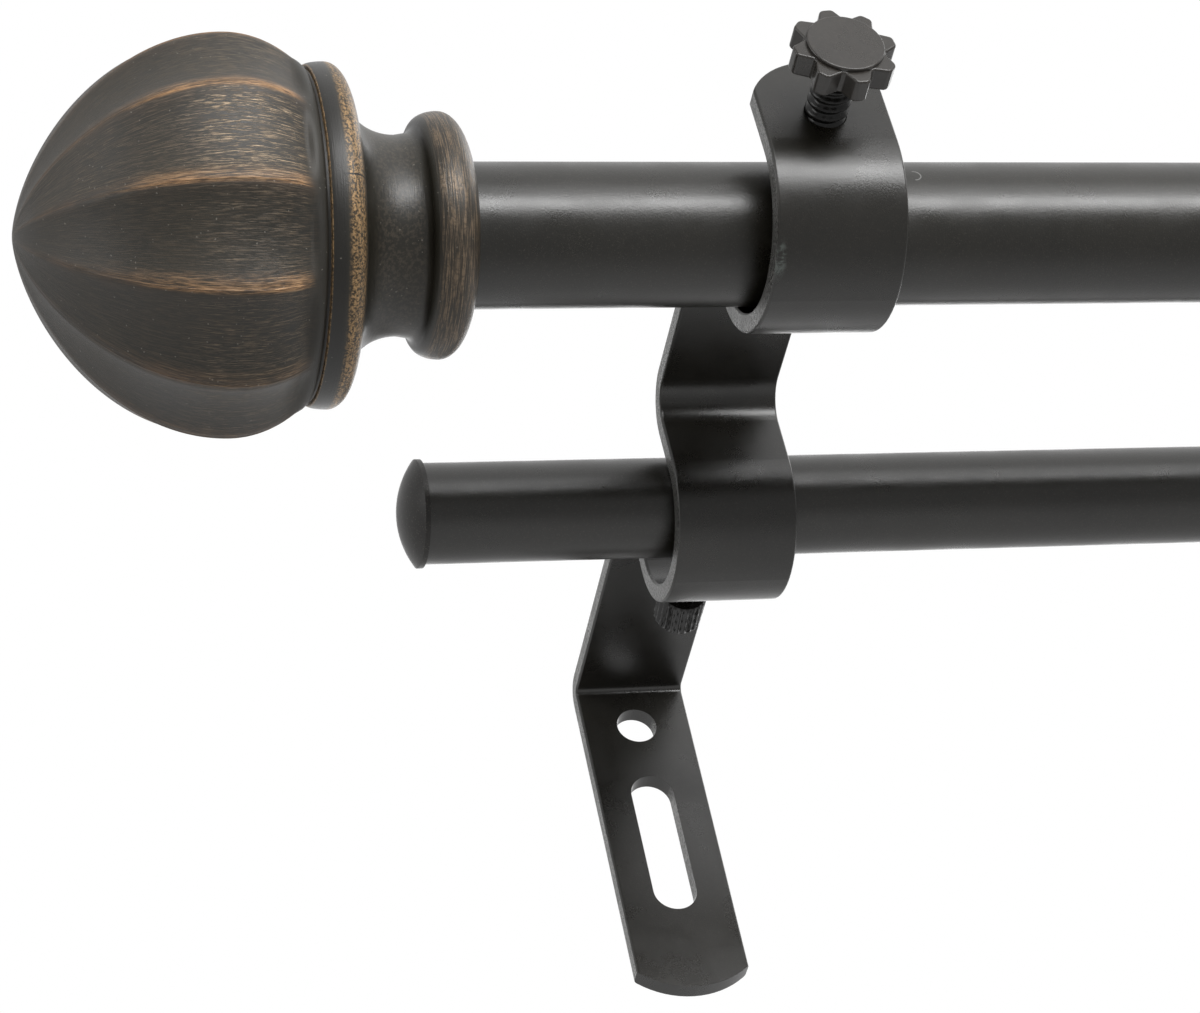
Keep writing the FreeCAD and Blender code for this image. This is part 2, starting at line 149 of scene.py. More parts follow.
def finial_profile():
    """(place, radius, hollow) of every ring from the pole's end to the ball's tip."""
    seam_angle = math.asin((BALL_MIDDLE - SEAM_PLACE) / BALL_SHOULDER)
    seam_radius = BALL_R * math.cos(seam_angle)
    rows = []

    def add(points):
        for place, radius in points:
            if rows and abs(rows[-1][0] - place) + abs(rows[-1][1] - radius) < 1e-4:
                continue
            rows.append((place, radius, 0.0))

    bead_top, flange_top = (BEAD_MIDDLE, BEAD_R), (FLANGE_MIDDLE, FLANGE_R)
    cove_edge = (BEAD_MIDDLE - BEAD_LENGTH, COVE_R + COVE_RISE)
    cove_floor = (COVE_MIDDLE, COVE_R)
    crease = (FLANGE_MIDDLE + FLANGE_LENGTH, COVE_R + FLANGE_CREASE)
    add([(0.0, BORE_R)])
    add(quarter((0.0, FLANGE_END_R), flange_top, steps=18))
    add(quarter(crease, flange_top, steps=16)[::-1])
    add([(crease[0] + 0.12, crease[1] - 0.45), (crease[0] + 0.45, crease[1] - 0.95),
         (crease[0] + 1.1, crease[1] - 1.35)])
    add(quarter(cove_edge, cove_floor, steps=18)[::-1])
    add(quarter(cove_edge, bead_top, steps=18))
    add(quarter((SEAM_PLACE - SEAM_WIDTH, seam_radius), bead_top, steps=14)[::-1])
    deep = seam_radius - SEAM_DEPTH
    add([(SEAM_PLACE - SEAM_WIDTH + 0.05, deep + 0.1), (SEAM_PLACE - SEAM_WIDTH / 2, deep),
         (SEAM_PLACE - 0.05, deep + 0.1)])
    for step in range(SHOULDER_STEPS):
        angle = seam_angle * (1 - step / SHOULDER_STEPS)
        place = BALL_MIDDLE - BALL_SHOULDER * math.sin(angle)
        hollow = min(1.0, (place - SEAM_PLACE) / FLUTE_RUNOUT)
        hollow = hollow * hollow * (3 - 2 * hollow)
        rows.append((place, BALL_R * math.cos(angle), hollow))
    last = math.acos((TIP_R / BALL_R) ** (1 / DOME_TAPER))
    for step in range(DOME_STEPS):
        angle = last * step / (DOME_STEPS - 1)
        rows.append((BALL_MIDDLE + BALL_LENGTH * math.sin(angle),
                     BALL_R * math.cos(angle) ** DOME_TAPER, 1.0))
    return rows


def make_finial(side, sign):
    """Detailed finial; sign is -1 at the left end of the pole and 1 at the right."""
    rings, places, nearness = [], [], []
    for place, radius, hollow in finial_profile():
        points, near = finial_ring(place, radius, hollow)
        if sign > 0:
            points[:, 0] *= -1
        points += np.array([sign * FRONT_END, FRONT_Y, FRONT_Z])
        rings.append(points)
        places.append(np.full(len(near), place))
        nearness.append(near * (1.0 if hollow > 0 else 0.0))
    across = np.concatenate(nearness)
    return grid_mesh("finial_" + side + "_carved", rings,
                     {"place": np.concatenate(places), "ridge": np.abs(across),
                      "across": across}, flip=sign > 0, smooth_angle=50.0)


# Screws

# Sizes in millimetres
TIP_CLEARANCE, TIP_CHAMFER = 0.3, 0.6
SCREW_REACH, SHANK_IN_KNOB = 20.9, 3.5
FRONT_SCREW_R, FRONT_ROOT_R, FRONT_PITCH = 3.7, 2.95, 2.0
REAR_SCREW_R, REAR_ROOT_R, REAR_PITCH = 2.5, 2.1, 0.8
FRONT_POINTS_AROUND, FRONT_RINGS_PER_PITCH, REAR_RINGS_PER_PITCH = 48, 14, 8
HEAD_TEETH, POINTS_PER_TOOTH = 22, 8
HEAD_CREST_R, HEAD_ROOT_R, HEAD_LENGTH = 4.75, 4.35, 7.6
HEAD_LEAN = math.radians(-6.0)
# Shares of half a tooth that its floor and its flank take
THREAD_SHAPE, KNURL_SHAPE = (0.16, 0.62), (0.12, 0.7)


def tip_distance(tube_radius, axis_z, screw_radius):
    """How far a screw's tip stands from a pole's axis, with its chamfered rim clear of the tube."""
    rim = (SCREW_Z - axis_z) - screw_radius + TIP_CHAMFER
    return math.sqrt(tube_radius ** 2 - rim ** 2) + TIP_CLEARANCE


def ring_angles(count):
    return np.arange(count) * 2 * math.pi / count


def toothed_radius(phase, crest, root, floor_share, flank_share):
    """Radius at a phase from 0 to 1 of a thread's pitch or of one tooth of a knurl."""
    ramp = np.abs(2 * (phase % 1.0) - 1)
    return root + (crest - root) * np.clip((ramp - floor_share) / flank_share, 0, 1)


def screw_ring(x, y, radius):
    """One ring about a screw's axis, with a radius for each of its points."""
    theta = ring_angles(len(radius))
    return np.stack([x + radius * np.sin(theta), np.full(len(radius), y),
                     SCREW_Z + radius * np.cos(theta)], axis=1)


def thread_rings(x, tip_y, end_y, crest, root, pitch, around, per_pitch):
    """Rings of a right-handed thread along Y from its chamfered tip to its end."""
    length = abs(end_y - tip_y)
    count = int(length / pitch * per_pitch) + 1
    theta = ring_angles(around)
    rings = []
    for step in range(count + 1):
        along = length * step / count
        y = tip_y + math.copysign(along, end_y - tip_y)
        radius = toothed_radius(y / pitch - theta / (2 * math.pi), crest, root, *THREAD_SHAPE)
        rings.append(screw_ring(x, y, np.minimum(radius, crest - TIP_CHAMFER + along)))
    return rings


def make_front_screw(side, x, tip_y):
    end_y = tip_y - SCREW_REACH - SHANK_IN_KNOB
    rings = thread_rings(x, tip_y, end_y, FRONT_SCREW_R, FRONT_ROOT_R, FRONT_PITCH,
                         FRONT_POINTS_AROUND, FRONT_RINGS_PER_PITCH)
    return grid_mesh("front_screw_" + side + "_thread", rings, {}, flip=True, smooth_angle=60.0)


def make_rear_screw(side, x, tip_y):
    """Knurled thumbscrew: a fine thread, then a round head with leaning teeth."""
    head_y = tip_y + SCREW_REACH
    around = HEAD_TEETH * POINTS_PER_TOOTH
    rings = thread_rings(x, tip_y, head_y, REAR_SCREW_R, REAR_ROOT_R, REAR_PITCH, around,
                         REAR_RINGS_PER_PITCH)
    crest, length = HEAD_CREST_R, HEAD_LENGTH
    # how far out each ring of the head may reach: back, first rim, side, last rim and face
    limits = [(0.0, REAR_ROOT_R), (0.0, 3.2), (0.0, crest - 0.4), (0.1, crest - 0.3),
              (0.25, crest - 0.15), (0.4, crest)]
    limits += [(along, crest) for along in np.linspace(0.6, length - 0.6, 14)]
    limits += [(length - 0.4, crest), (length - 0.2, crest - 0.2), (length, crest - 0.4),
               (length, crest - 0.9), (length - 0.15, crest - 1.2), (length - 0.15, 1.0)]
    theta = ring_angles(around)
    for along, limit in limits:
        phase = (theta - HEAD_LEAN * along / length) * HEAD_TEETH / (2 * math.pi)
        radius = toothed_radius(phase, crest, HEAD_ROOT_R, *KNURL_SHAPE)
        rings.append(screw_ring(x, head_y + along, np.minimum(radius, limit)))
    return grid_mesh("rear_screw_" + side + "_knurled", rings, {}, flip=False, smooth_angle=30.0)


# Materials

class Nodes:
    """Adds nodes to one tree by short calls; a socket or a plain value goes in alike."""

    def __init__(self, tree):
        self.tree = tree
        self.tree.nodes.clear()

    def node(self, kind, inputs=None, **settings):
        made = self.tree.nodes.new(kind)
        for key, value in settings.items():
            setattr(made, key, value)
        for key, value in (inputs or {}).items():
            self.feed(made.inputs[key], value)
        return made

    def feed(self, socket, value):
        if isinstance(value, bpy.types.NodeSocket):
            self.tree.links.new(value, socket)
        else:
            socket.default_value = value

    def math(self, operation, a, b=0.0):
        return self.node("ShaderNodeMath", {0: a, 1: b}, operation=operation).outputs[0]

    def product(self, first, *others):
        for value in others:
            first = self.math("MULTIPLY", first, value)
        return first

    def mean(self, a, b):
        return self.math("MULTIPLY", self.math("ADD", a, b), 0.5)

    def vector(self, operation, a, b=(0, 0, 0)):
        return self.node("ShaderNodeVectorMath", {0: a, 1: b}, operation=operation).outputs["Vector"]

    def dot(self, a, b):
        made = self.node("ShaderNodeVectorMath", {0: a, 1: b}, operation="DOT_PRODUCT")
        return made.outputs["Value"]

    def length(self, a):
        return self.node("ShaderNodeVectorMath", {0: a}, operation="LENGTH").outputs["Value"]

    def split(self, a):
        made = self.node("ShaderNodeSeparateXYZ", {0: a})
        return made.outputs[0], made.outputs[1], made.outputs[2]

    def join(self, x, y, z):
        return self.node("ShaderNodeCombineXYZ", {0: x, 1: y, 2: z}).outputs[0]

    def span(self, value, low, high, to_low=0.0, to_high=1.0):
        """A smooth slope: to_low up to low, to_high from high on."""
        inputs = {0: value, 1: low, 2: high, 3: to_low, 4: to_high}
        return self.node("ShaderNodeMapRange", inputs, interpolation_type="SMOOTHSTEP").outputs[0]

    def band(self, value, rise, fall, rest=0.0):
        """Rises from 0 to 1 over one range of a value and falls to the rest over another."""
        return self.product(self.span(value, *rise), self.span(value, *fall, 1.0, rest))

    def mix_shader(self, factor, a, b):
        return self.node("ShaderNodeMixShader", {0: factor, 1: a, 2: b}).outputs[0]


class Graph(Nodes):
    """A material with one Principled shader and the textures that feed it."""

    def __init__(self, name, **shader_values):
        self.material = bpy.data.materials.new(name)
        self.material.use_nodes = True
        super().__init__(self.material.node_tree)
        self.shader = self.node("ShaderNodeBsdfPrincipled")
        self.node("ShaderNodeOutputMaterial", {"Surface": self.shader.outputs[0]})
        for label, value in shader_values.items():
            self.shader.inputs[label.replace("_", " ")].default_value = value
        self.place = self.node("ShaderNodeTexCoord").outputs["Object"]
        self.facing = self.node("ShaderNodeTexCoord").outputs["Normal"]

    def away(self, point, reach):
        """Distance from a point, as a share of the reach given along each axis, in millimetres."""
        offset = self.vector("SUBTRACT", self.place, tuple(v * MM for v in point))
        return self.length(self.vector("DIVIDE", offset, tuple(v * MM for v in reach)))

    def noise(self, where, scale, detail=2.0, roughness=0.5):
        inputs = {"Vector": where, "Scale": scale, "Detail": detail, "Roughness": roughness}
        return self.node("ShaderNodeTexNoise", inputs).outputs["Fac"]

    def cells(self, where, scale):
        inputs = {"Vector": where, "Scale": scale}
        return self.node("ShaderNodeTexVoronoi", inputs).outputs["Color"]

    def attribute(self, name):
        return self.node("ShaderNodeAttribute", attribute_name=name).outputs["Fac"]

    def blend(self, factor, a, b):
        made = self.node("ShaderNodeMix", data_type="RGBA")
        self.feed(made.inputs["Factor"], factor)
        for socket, colour in ((made.inputs[6], a), (made.inputs[7], b)):
            self.feed(socket, (*colour, 1.0) if isinstance(colour, tuple) else colour)
        return made.outputs[2]

    def bump(self, height, strength, distance, normal=None):
        inputs = {"Height": height, "Strength": strength, "Distance": distance}
        if normal is not None:
            inputs["Normal"] = normal
        return self.node("ShaderNodeBump", inputs).outputs[0]

    def set(self, label, value):
        self.feed(self.shader.inputs[label], value)

    def so_far(self, label):
        """What feeds one of the shader's inputs by now."""
        return self.shader.inputs[label].links[0].from_socket


FLAKE_COLOUR = (0.30, 0.27, 0.23)
# A scuff on the left bracket's front cup and a curved nick on the front pole, in millimetres
SCUFF_PLACE, SCUFF_REACH = (-310.9, -168.4, -27.5), (1.7, 4.4, 4.4)
NICK_PLACE, NICK_R, NICK_LEFT_END = (-282.6, -169.4, -8.3), 1.2, -282.7
# How far outside a cup strip's middle its sheared side turns torn, and that line's waver, in metres
TORN_FROM, TORN_TO, TORN_WAVER = 0.0001, 0.0005, 0.0012


def paint(name, dark, light, rough, sparkle, grain_scale, grain, specular):
    """Satin sprayed paint: soft colour drift, fine orange peel and small bright flakes."""
    g = Graph(name, Specular_IOR_Level=specular)
    drift = g.noise(g.place, 55.0, 3.0)
    mottle = g.noise(g.place, 900.0, 3.0, 0.6)
    tone = g.math("ADD", g.math("MULTIPLY", drift, 0.6), g.math("MULTIPLY", mottle, 0.4))
    colour = g.blend(g.span(tone, 0.3, 0.7), dark, light)
    flake = g.span(g.split(g.cells(g.place, grain_scale))[0], 0.9, 1.0)
    g.set("Base Color", g.blend(g.math("MULTIPLY", flake, sparkle), colour, FLAKE_COLOUR))
    fine = g.noise(g.place, grain_scale * 0.55, 2.0, 0.6)
    broad = g.span(g.noise(g.place, 120.0, 3.0), 0.3, 0.7, rough - 0.03, rough + 0.04)
    g.set("Roughness", g.math("ADD", broad, g.math("MULTIPLY", fine, 0.05)))
    peel = g.noise(g.place, 420.0, 2.0)
    normal = g.bump(peel, 0.05, 0.0003)
    g.set("Normal", g.bump(fine, grain, 0.00006, normal))
    return g


def bracket_material():
    """Satin powder coat; the sheared side faces keep a smooth zone and a torn, grainy one, both
    painted far paler than the coat as a painted reflection of the light from the left.
    """
    g = paint("bracket_powder_coat", (0.0072, 0.0063, 0.0042), (0.0115, 0.0101, 0.0070),
              rough=0.27, sparkle=0.05, grain_scale=7000.0, grain=0.42, specular=0.72)
    scuff = g.product(g.span(g.away(SCUFF_PLACE, SCUFF_REACH), 0.25, 1.0, 1.0, 0.0),
                      g.span(g.noise(g.place, 900.0, 3.0, 0.7), 0.40, 0.62))
    colour = g.blend(scuff, g.so_far("Base Color"), (0.085, 0.100, 0.090))
    _, y, z = g.split(g.place)
    sideways = g.span(g.math("ABSOLUTE", g.split(g.facing)[0]), 0.90, 0.97)

    def from_middle(cup_y, cup_z, radius):
        offset = g.join(0.0, g.math("SUBTRACT", y, cup_y * MM), g.math("SUBTRACT", z, cup_z * MM))
        return g.math("SUBTRACT", g.length(offset), radius * MM)

    front = from_middle(*FRONT_CUP)
    rear = from_middle(*REAR_CUP)
    at_front = g.math("LESS_THAN", y, BETWEEN_CUPS * MM)
    depth = g.math("ADD", g.product(front, at_front),
                   g.product(rear, g.math("SUBTRACT", 1.0, at_front)))
    waver = g.math("MULTIPLY", g.noise(g.place, 420.0, 2.0), TORN_WAVER)
    torn = g.span(g.math("ADD", depth, waver), TORN_FROM, TORN_TO)
    grains = g.noise(g.place, 2100.0, 3.0, 0.7)
    # painted reflection: the side faces are coloured far paler than the coat, as if lit from the
    # left, over the smooth and torn zones
    smooth = g.blend(g.span(grains, 0.38, 0.62), (0.050, 0.049, 0.045), (0.130, 0.128, 0.120))
    rough = g.blend(g.span(grains, 0.42, 0.58), (0.012, 0.0115, 0.010), (0.170, 0.168, 0.158))
    g.set("Base Color", g.blend(sideways, colour, g.blend(torn, smooth, rough)))
    coarse = g.product(g.noise(g.place, 1500.0, 3.0, 0.7), sideways)
    g.set("Normal", g.bump(coarse, 0.8, 0.0003, g.so_far("Normal")))
    return g.material


def pole_material():
    """Satin bronze-black paint with a small curved nick near the left bracket."""
    g = paint("pole_satin_bronze", (0.0078, 0.0068, 0.0042), (0.0125, 0.0110, 0.0074),
              rough=0.28, sparkle=0.07, grain_scale=6800.0, grain=0.45, specular=0.75)
    ring = g.away(NICK_PLACE, (NICK_R, NICK_R, NICK_R))
    thin = g.span(g.math("ABSOLUTE", g.math("SUBTRACT", ring, 1.0)), 0.05, 0.12, 0.5, 0.0)
    nick = g.product(thin, g.math("GREATER_THAN", g.split(g.place)[0], NICK_LEFT_END * MM))
    g.set("Base Color", g.blend(nick, g.so_far("Base Color"), (0.34, 0.34, 0.33)))
    return g.material


def knob_material():
    return paint("knob_moulded_plastic", (0.020, 0.0174, 0.0146), (0.033, 0.0285, 0.0240),
                 rough=0.26, sparkle=0.05, grain_scale=6500.0, grain=0.26, specular=0.7).material


def screw_material():
    return paint("blackened_steel", (0.004, 0.0037, 0.0033), (0.009, 0.0083, 0.0075),
                 rough=0.17, sparkle=0.05, grain_scale=7000.0, grain=0.08, specular=0.45).material


def cap_material():
    return paint("cap_satin_paint", (0.013, 0.0118, 0.0103), (0.021, 0.019, 0.0165),
                 rough=0.36, sparkle=0.16, grain_scale=5600.0, grain=0.12, specular=0.4).material


def mottled(name, dark, light, roughness, tone_scale, grain_scale, grain, depth, **shader_values):
    """A plain surface whose colour and roughness vary a little, with a fine grain."""
    g = Graph(name, **shader_values)
    tone = g.noise(g.place, tone_scale, 3.0)
    g.set("Base Color", g.blend(tone, dark, light))
    g.set("Roughness", g.span(tone, 0.2, 0.8, *roughness))
    g.set("Normal", g.bump(g.noise(g.place, grain_scale), grain, depth))
    return g.material


def zinc_material():
    return mottled("zinc_plated_steel", (0.45, 0.45, 0.46), (0.62, 0.62, 0.63), (0.25, 0.42),
                   tone_scale=700.0, grain_scale=3500.0, grain=0.15, depth=0.00005, Metallic=1.0)


def nylon_material():
    return mottled("moulded_nylon", (0.03, 0.03, 0.03), (0.05, 0.05, 0.05), (0.45, 0.6),
                   tone_scale=300.0, grain_scale=2500.0, grain=0.2, depth=0.00006)


# Along a finial, in millimetres: where a finish rises, where it falls, and any share left beyond
ON_BALL = 28.8, 30.6
RIDGE_WEAR = (29.6, 33.0), (43.0, 64.0), 0.14
STROKE_WEAR = (30.2, 32.2), (42.0, 53.0), 0.16
BEAD_CROWN = (20.9, 21.9), (23.6, 24.6)
COVE_FLOOR = (9.0, 10.6), (16.5, 19.5)
FLANGE_CROWN = (0.3, 1.4), (7.0, 8.1)
SEAM_LIP = (26.85, 26.95), (27.1, 27.25)
# the span of painted shade on the bead's flank toward the seam
SEAM_PAINTED_SHADE = (24.4, 25.2), (27.6, 28.2)
BALL_FOOT = (27.0, 28.0), (31.0, 34.0), 0.45
CRACK_LENGTH = (20.6, 21.2), (24.4, 25.2)
# As shares of the radius
CRACK_HALF_WIDTH, CRACK_WAVER = 0.0052, 0.016


def finial_material():
    """Dark bronze on cast resin, rubbed to copper on its ridges and crowns, with brush marks,
    painted shade on the bead's seam side and a painted highlight beside each ridge.
    """
    g = Graph("rubbed_bronze_resin", Specular_IOR_Level=0.6)
    place, ridge, across = g.attribute("place"), g.attribute("ridge"), g.attribute("across")
    x, y, z = g.split(g.place)
    radial = g.join(0.0, g.math("SUBTRACT", y, FRONT_Y * MM), g.math("SUBTRACT", z, FRONT_Z * MM))
    around = g.vector("NORMALIZE", radial)
    _, ay, az = g.split(around)

    def stretched(along_scale, around_scale, detail=3.0, roughness=0.62):
        where = g.join(g.math("MULTIPLY", x, along_scale), g.math("MULTIPLY", ay, around_scale),
                       g.math("MULTIPLY", az, around_scale))
        return g.noise(where, 1.0, detail, roughness)

    streak = stretched(110.0, 100.0)
    hair = stretched(430.0, 340.0)
    hoops = stretched(4600.0, 4.0)
    cloud = g.noise(g.place, 60.0, 3.0, 0.6)
    patch = g.noise(g.place, 150.0, 2.0, 0.5)
    grain = g.noise(g.place, 2300.0, 2.0, 0.6)
    coarse = g.noise(g.place, 1500.0, 3.0, 0.7)
    on_ball = g.span(place, *ON_BALL)

    # rubbed lines on the ridges, sharp on one side; on the other side the copper spreads out, partly
    # rubbed wear and partly a painted highlight;
    # rubbed is 1 where the ball was rubbed hardest, and -1 opposite
    rubbed = g.dot(around, (0.0, math.cos(RUBBED_PANEL), math.sin(RUBBED_PANEL)))
    reach = g.product(g.band(place, *RIDGE_WEAR),
                      g.span(g.noise(g.place, 38.0, 1.0), 0.38, 0.58, 0.50, 1.0),
                      g.span(g.math("ABSOLUTE", rubbed), 0.15, 0.93, 0.22, 1.0))
    strands = g.mean(streak, hair)
    line_wear = g.product(g.span(ridge, 0.90, 0.975), reach, g.span(strands, 0.42, 0.56, 0.18, 1.0))
    # copper spread beside one side of each ridge: partly rubbed wear, partly painted highlight
    halo_wear_and_highlight = g.product(g.span(across, 0.60, 0.98), reach, g.span(strands, 0.42, 0.56), 0.85)
    # thin strokes over the panels, most of them on the panel that was rubbed hardest
    zone = g.product(g.band(place, *STROKE_WEAR), g.span(rubbed, 0.955, 0.985, 0.24, 1.0))
    strokes = g.product(g.span(hair, 0.515, 0.60), g.span(streak, 0.40, 0.56, 0.12, 1.0), zone)
    # crowns of the bead and the flange, and the lip of the seam
    bead = g.product(g.band(place, *BEAD_CROWN), g.span(hoops, 0.36, 0.60, 0.45, 1.0),
                     g.span(grain, 0.34, 0.54, 0.40, 1.0))
    flange = g.product(g.band(place, *FLANGE_CROWN), g.span(hoops, 0.42, 0.62, 0.16, 0.95),
                       g.span(coarse, 0.36, 0.56, 0.45, 1.0))
    seam = g.product(g.band(place, *SEAM_LIP), 0.7)

    # the unrubbed finish, with dust on the ball, painted shade on the bead's seam side and pale
    # specks
    dark = g.blend(g.span(cloud, 0.3, 0.7), (0.0140, 0.0122, 0.0080), (0.0235, 0.0202, 0.0135))
    dust = g.product(g.span(hair, 0.46, 0.62), on_ball, 0.55)
    dark = g.blend(dust, dark, (0.060, 0.043, 0.026))
    rusty = g.product(g.span(ridge, 0.6, 1.0), on_ball, g.span(patch, 0.35, 0.65, 0.1, 0.5))
    dark = g.blend(rusty, dark, (0.060, 0.038, 0.024))
    # painted shade: the bead's flank is darkened down into the seam, where shade falls
    painted_shade = g.product(g.band(place, *SEAM_PAINTED_SHADE), 0.55)
    dark = g.blend(painted_shade, dark, (0.005, 0.0045, 0.004))
    speck = g.span(g.split(g.cells(g.place, 4600.0))[0], 0.9965, 0.9985, 0.0, 0.32)
    dark = g.blend(speck, dark, (0.36, 0.33, 0.28))
    cove = g.product(g.band(place, *COVE_FLOOR), g.span(coarse, 0.44, 0.62, 0.0, 0.45))
    dark = g.blend(cove, dark, (0.075, 0.060, 0.042))

    copper = g.blend(g.span(hair, 0.35, 0.65), (0.20, 0.096, 0.040), (0.70, 0.400, 0.185))
    gold = g.blend(g.span(streak, 0.35, 0.65), (0.27, 0.190, 0.115), (0.50, 0.375, 0.245))
    bronze = g.blend(g.span(grain, 0.38, 0.62), (0.070, 0.046, 0.023), (0.42, 0.265, 0.125))
    brown = g.blend(g.span(hoops, 0.40, 0.62), (0.075, 0.053, 0.035), (0.20, 0.145, 0.095))
    colour = g.blend(g.product(g.math("MAXIMUM", line_wear, halo_wear_and_highlight), on_ball), dark, copper)
    colour = g.blend(g.product(strokes, on_ball), colour, gold)
    colour = g.blend(g.math("MAXIMUM", bead, seam), colour, bronze)
    colour = g.blend(flange, colour, brown)
    # a hairline crack across the left finial's bead
    crack_line = g.math("ADD", g.dot(around, (0.0, math.cos(CRACK_TURN), math.sin(CRACK_TURN))),
                        g.math("MULTIPLY", g.noise(g.place, 700.0, 2.0), CRACK_WAVER))
    crack = g.product(g.math("LESS_THAN", g.math("ABSOLUTE", crack_line), CRACK_HALF_WIDTH),
                      g.math("LESS_THAN", x, 0.0), g.math("LESS_THAN", ay, 0.0),
                      g.band(place, *CRACK_LENGTH))
    colour = g.blend(crack, colour, (0.004, 0.0035, 0.003))
    g.set("Base Color", colour)
    wear = g.math("MAXIMUM", g.math("MAXIMUM", line_wear, strokes), g.math("MAXIMUM", bead, flange))
    g.set("Metallic", g.math("MULTIPLY", wear, 0.40))
    g.set("Roughness", g.math("ADD", g.span(cloud, 0.3, 0.7, 0.36, 0.44),
                              g.product(g.band(place, *BALL_FOOT), 0.14)))
    brushed = g.math("ADD", g.math("MULTIPLY", hair, on_ball),
                     g.math("MULTIPLY", hoops, g.math("SUBTRACT", 1.0, on_ball)))
    normal = g.bump(brushed, 0.32, 0.00012)
    normal = g.bump(g.math("SUBTRACT", wear, crack), 0.25, 0.00008, normal)
    g.set("Normal", g.bump(grain, 0.30, 0.00007, normal))
    return g.material


# Pieces

def dress(piece, material):
    piece.data.materials.clear()
    piece.data.materials.append(material)


MATERIALS = {
    "bracket_paint": bracket_material(),
    "pole_paint": pole_material(),
    "black_steel": screw_material(),
    "knob_plastic": knob_material(),
    "brushed_bronze_resin": finial_material(),
    "plain_steel": zinc_material(),
    "nylon": nylon_material(),
    "cap_paint": cap_material(),
}

for part in frame["record"]["subparts"]:
    node = frame["nodes"][part["node"]]
    dress(node, MATERIALS[part["material_slot"]])

for side, x in (("left", -HALF_SPACING), ("right", HALF_SPACING)):
    front_tip = FRONT_Y - tip_distance(FRONT_TUBE_RADIUS[side], FRONT_Z, FRONT_SCREW_R)
    screw = make_front_screw(side, x, front_tip)
    dress(screw, MATERIALS["black_steel"])
    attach(screw, "front_screw_" + side)
    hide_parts("front_clamp_screw_" + side)

    rear_tip = REAR_Y + tip_distance(REAR_TUBE_RADIUS[side], REAR_Z, REAR_SCREW_R)
    thumb = make_rear_screw(side, x, rear_tip)
    dress(thumb, MATERIALS["black_steel"])
    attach(thumb, "rear_screw_" + side)
    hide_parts("rear_clamp_screw_" + side)

for side, sign, body in (("left", -1, "wall_frame"), ("right", 1, "front_extension")):
    finial = make_finial(side, sign)
    dress(finial, MATERIALS["brushed_bronze_resin"])
    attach(finial, body)
    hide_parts("finial_" + side)


# Stage, light and camera

FLOOR_HALF, FLOOR_HEIGHT, FLOOR_GREY = 6.0, -0.13, (0.86, 0.86, 0.86, 1)
# Distance from the origin over which the floor fades into the white
FLOOR_FADE = 0.7, 2.2
# Slopes of brightness in reflections, each as (from, to, brightness before, brightness after):
# over y on the floor, and over a ray's lean to the low front and to the right in the world
FLOOR_SHADE = -0.21, -0.09, 0.38, 0.72
LOW_FRONT, LOW_FRONT_SHADE = (0.0, -0.72, -0.69), (-0.1, 0.70, 1.0, 0.085)
LEFT_SHADE = -0.55, 0.15, 0.60, 1.0
SOFT_LIGHT = 0.20
WHITE = (1, 1, 1, 1)
LIT_POINT = Vector((0.0, -0.11, -0.01))
# Name, direction from the lit point, distance, width and height in metres, brightness of its face
LAMPS = (
    ("key", (0.12, -0.985, 0.10), 2.6, (2.80, 0.75), 10.4),
    ("left_fill", (-0.90, -0.30, 0.12), 2.6, (1.6, 1.6), 1.5),
    ("upper_fill", (0.27, -0.85, 0.45), 2.6, (1.8, 0.7), 1.8),
    ("right_fill", (0.62, 0.20, 0.76), 1.4, (0.6, 0.6), 2.4),
    ("back_fill", (0.25, 0.75, 0.6), 1.6, (1.6, 0.9), 1.4),
)
CAMERA_YAW, CAMERA_PITCH, CAMERA_ROLL = (math.radians(turn) for turn in (18.42, 39.20, 13.31))
CAMERA_PLACE = Vector((-0.47587, -0.54141, -0.40153))
CAMERA_LENS, CAMERA_SENSOR, CAMERA_NEAR, CAMERA_FAR = 99.09, 36.0, 0.01, 50.0


def make_floor():
    """Pale floor below the brackets. It is seen from above only and fades into the white.
    In reflections it is lighter under the wall side than in front."""
    mesh = bpy.data.meshes.new("floor")
    corners = [(x * FLOOR_HALF, y * FLOOR_HALF, FLOOR_HEIGHT)
               for x, y in ((-1, -1), (1, -1), (1, 1), (-1, 1))]
    mesh.from_pydata(corners, [], [(0, 1, 2, 3)])
    floor = bpy.data.objects.new("floor", mesh)
    bpy.context.scene.collection.objects.link(floor)
    material = bpy.data.materials.new("floor_pale")
    material.use_nodes = True
    n = Nodes(material.node_tree)
    where = n.node("ShaderNodeTexCoord").outputs["Object"]
    ray = n.node("ShaderNodeLightPath")
    backfacing = n.node("ShaderNodeNewGeometry").outputs["Backfacing"]
    matt = n.node("ShaderNodeBsdfDiffuse", {"Color": FLOOR_GREY}).outputs[0]
    white = n.node("ShaderNodeEmission").outputs[0]
    clear = n.node("ShaderNodeBsdfTransparent").outputs[0]
    painted_shade = n.span(n.split(where)[1], *FLOOR_SHADE)
    mirrored = n.node("ShaderNodeEmission", {"Strength": painted_shade}).outputs[0]
    faded = n.mix_shader(n.span(n.length(where), *FLOOR_FADE), matt, white)
    above = n.mix_shader(ray.outputs["Is Glossy Ray"], faded, mirrored)
    n.node("ShaderNodeOutputMaterial", {"Surface": n.mix_shader(backfacing, above, clear)})
    mesh.materials.append(material)


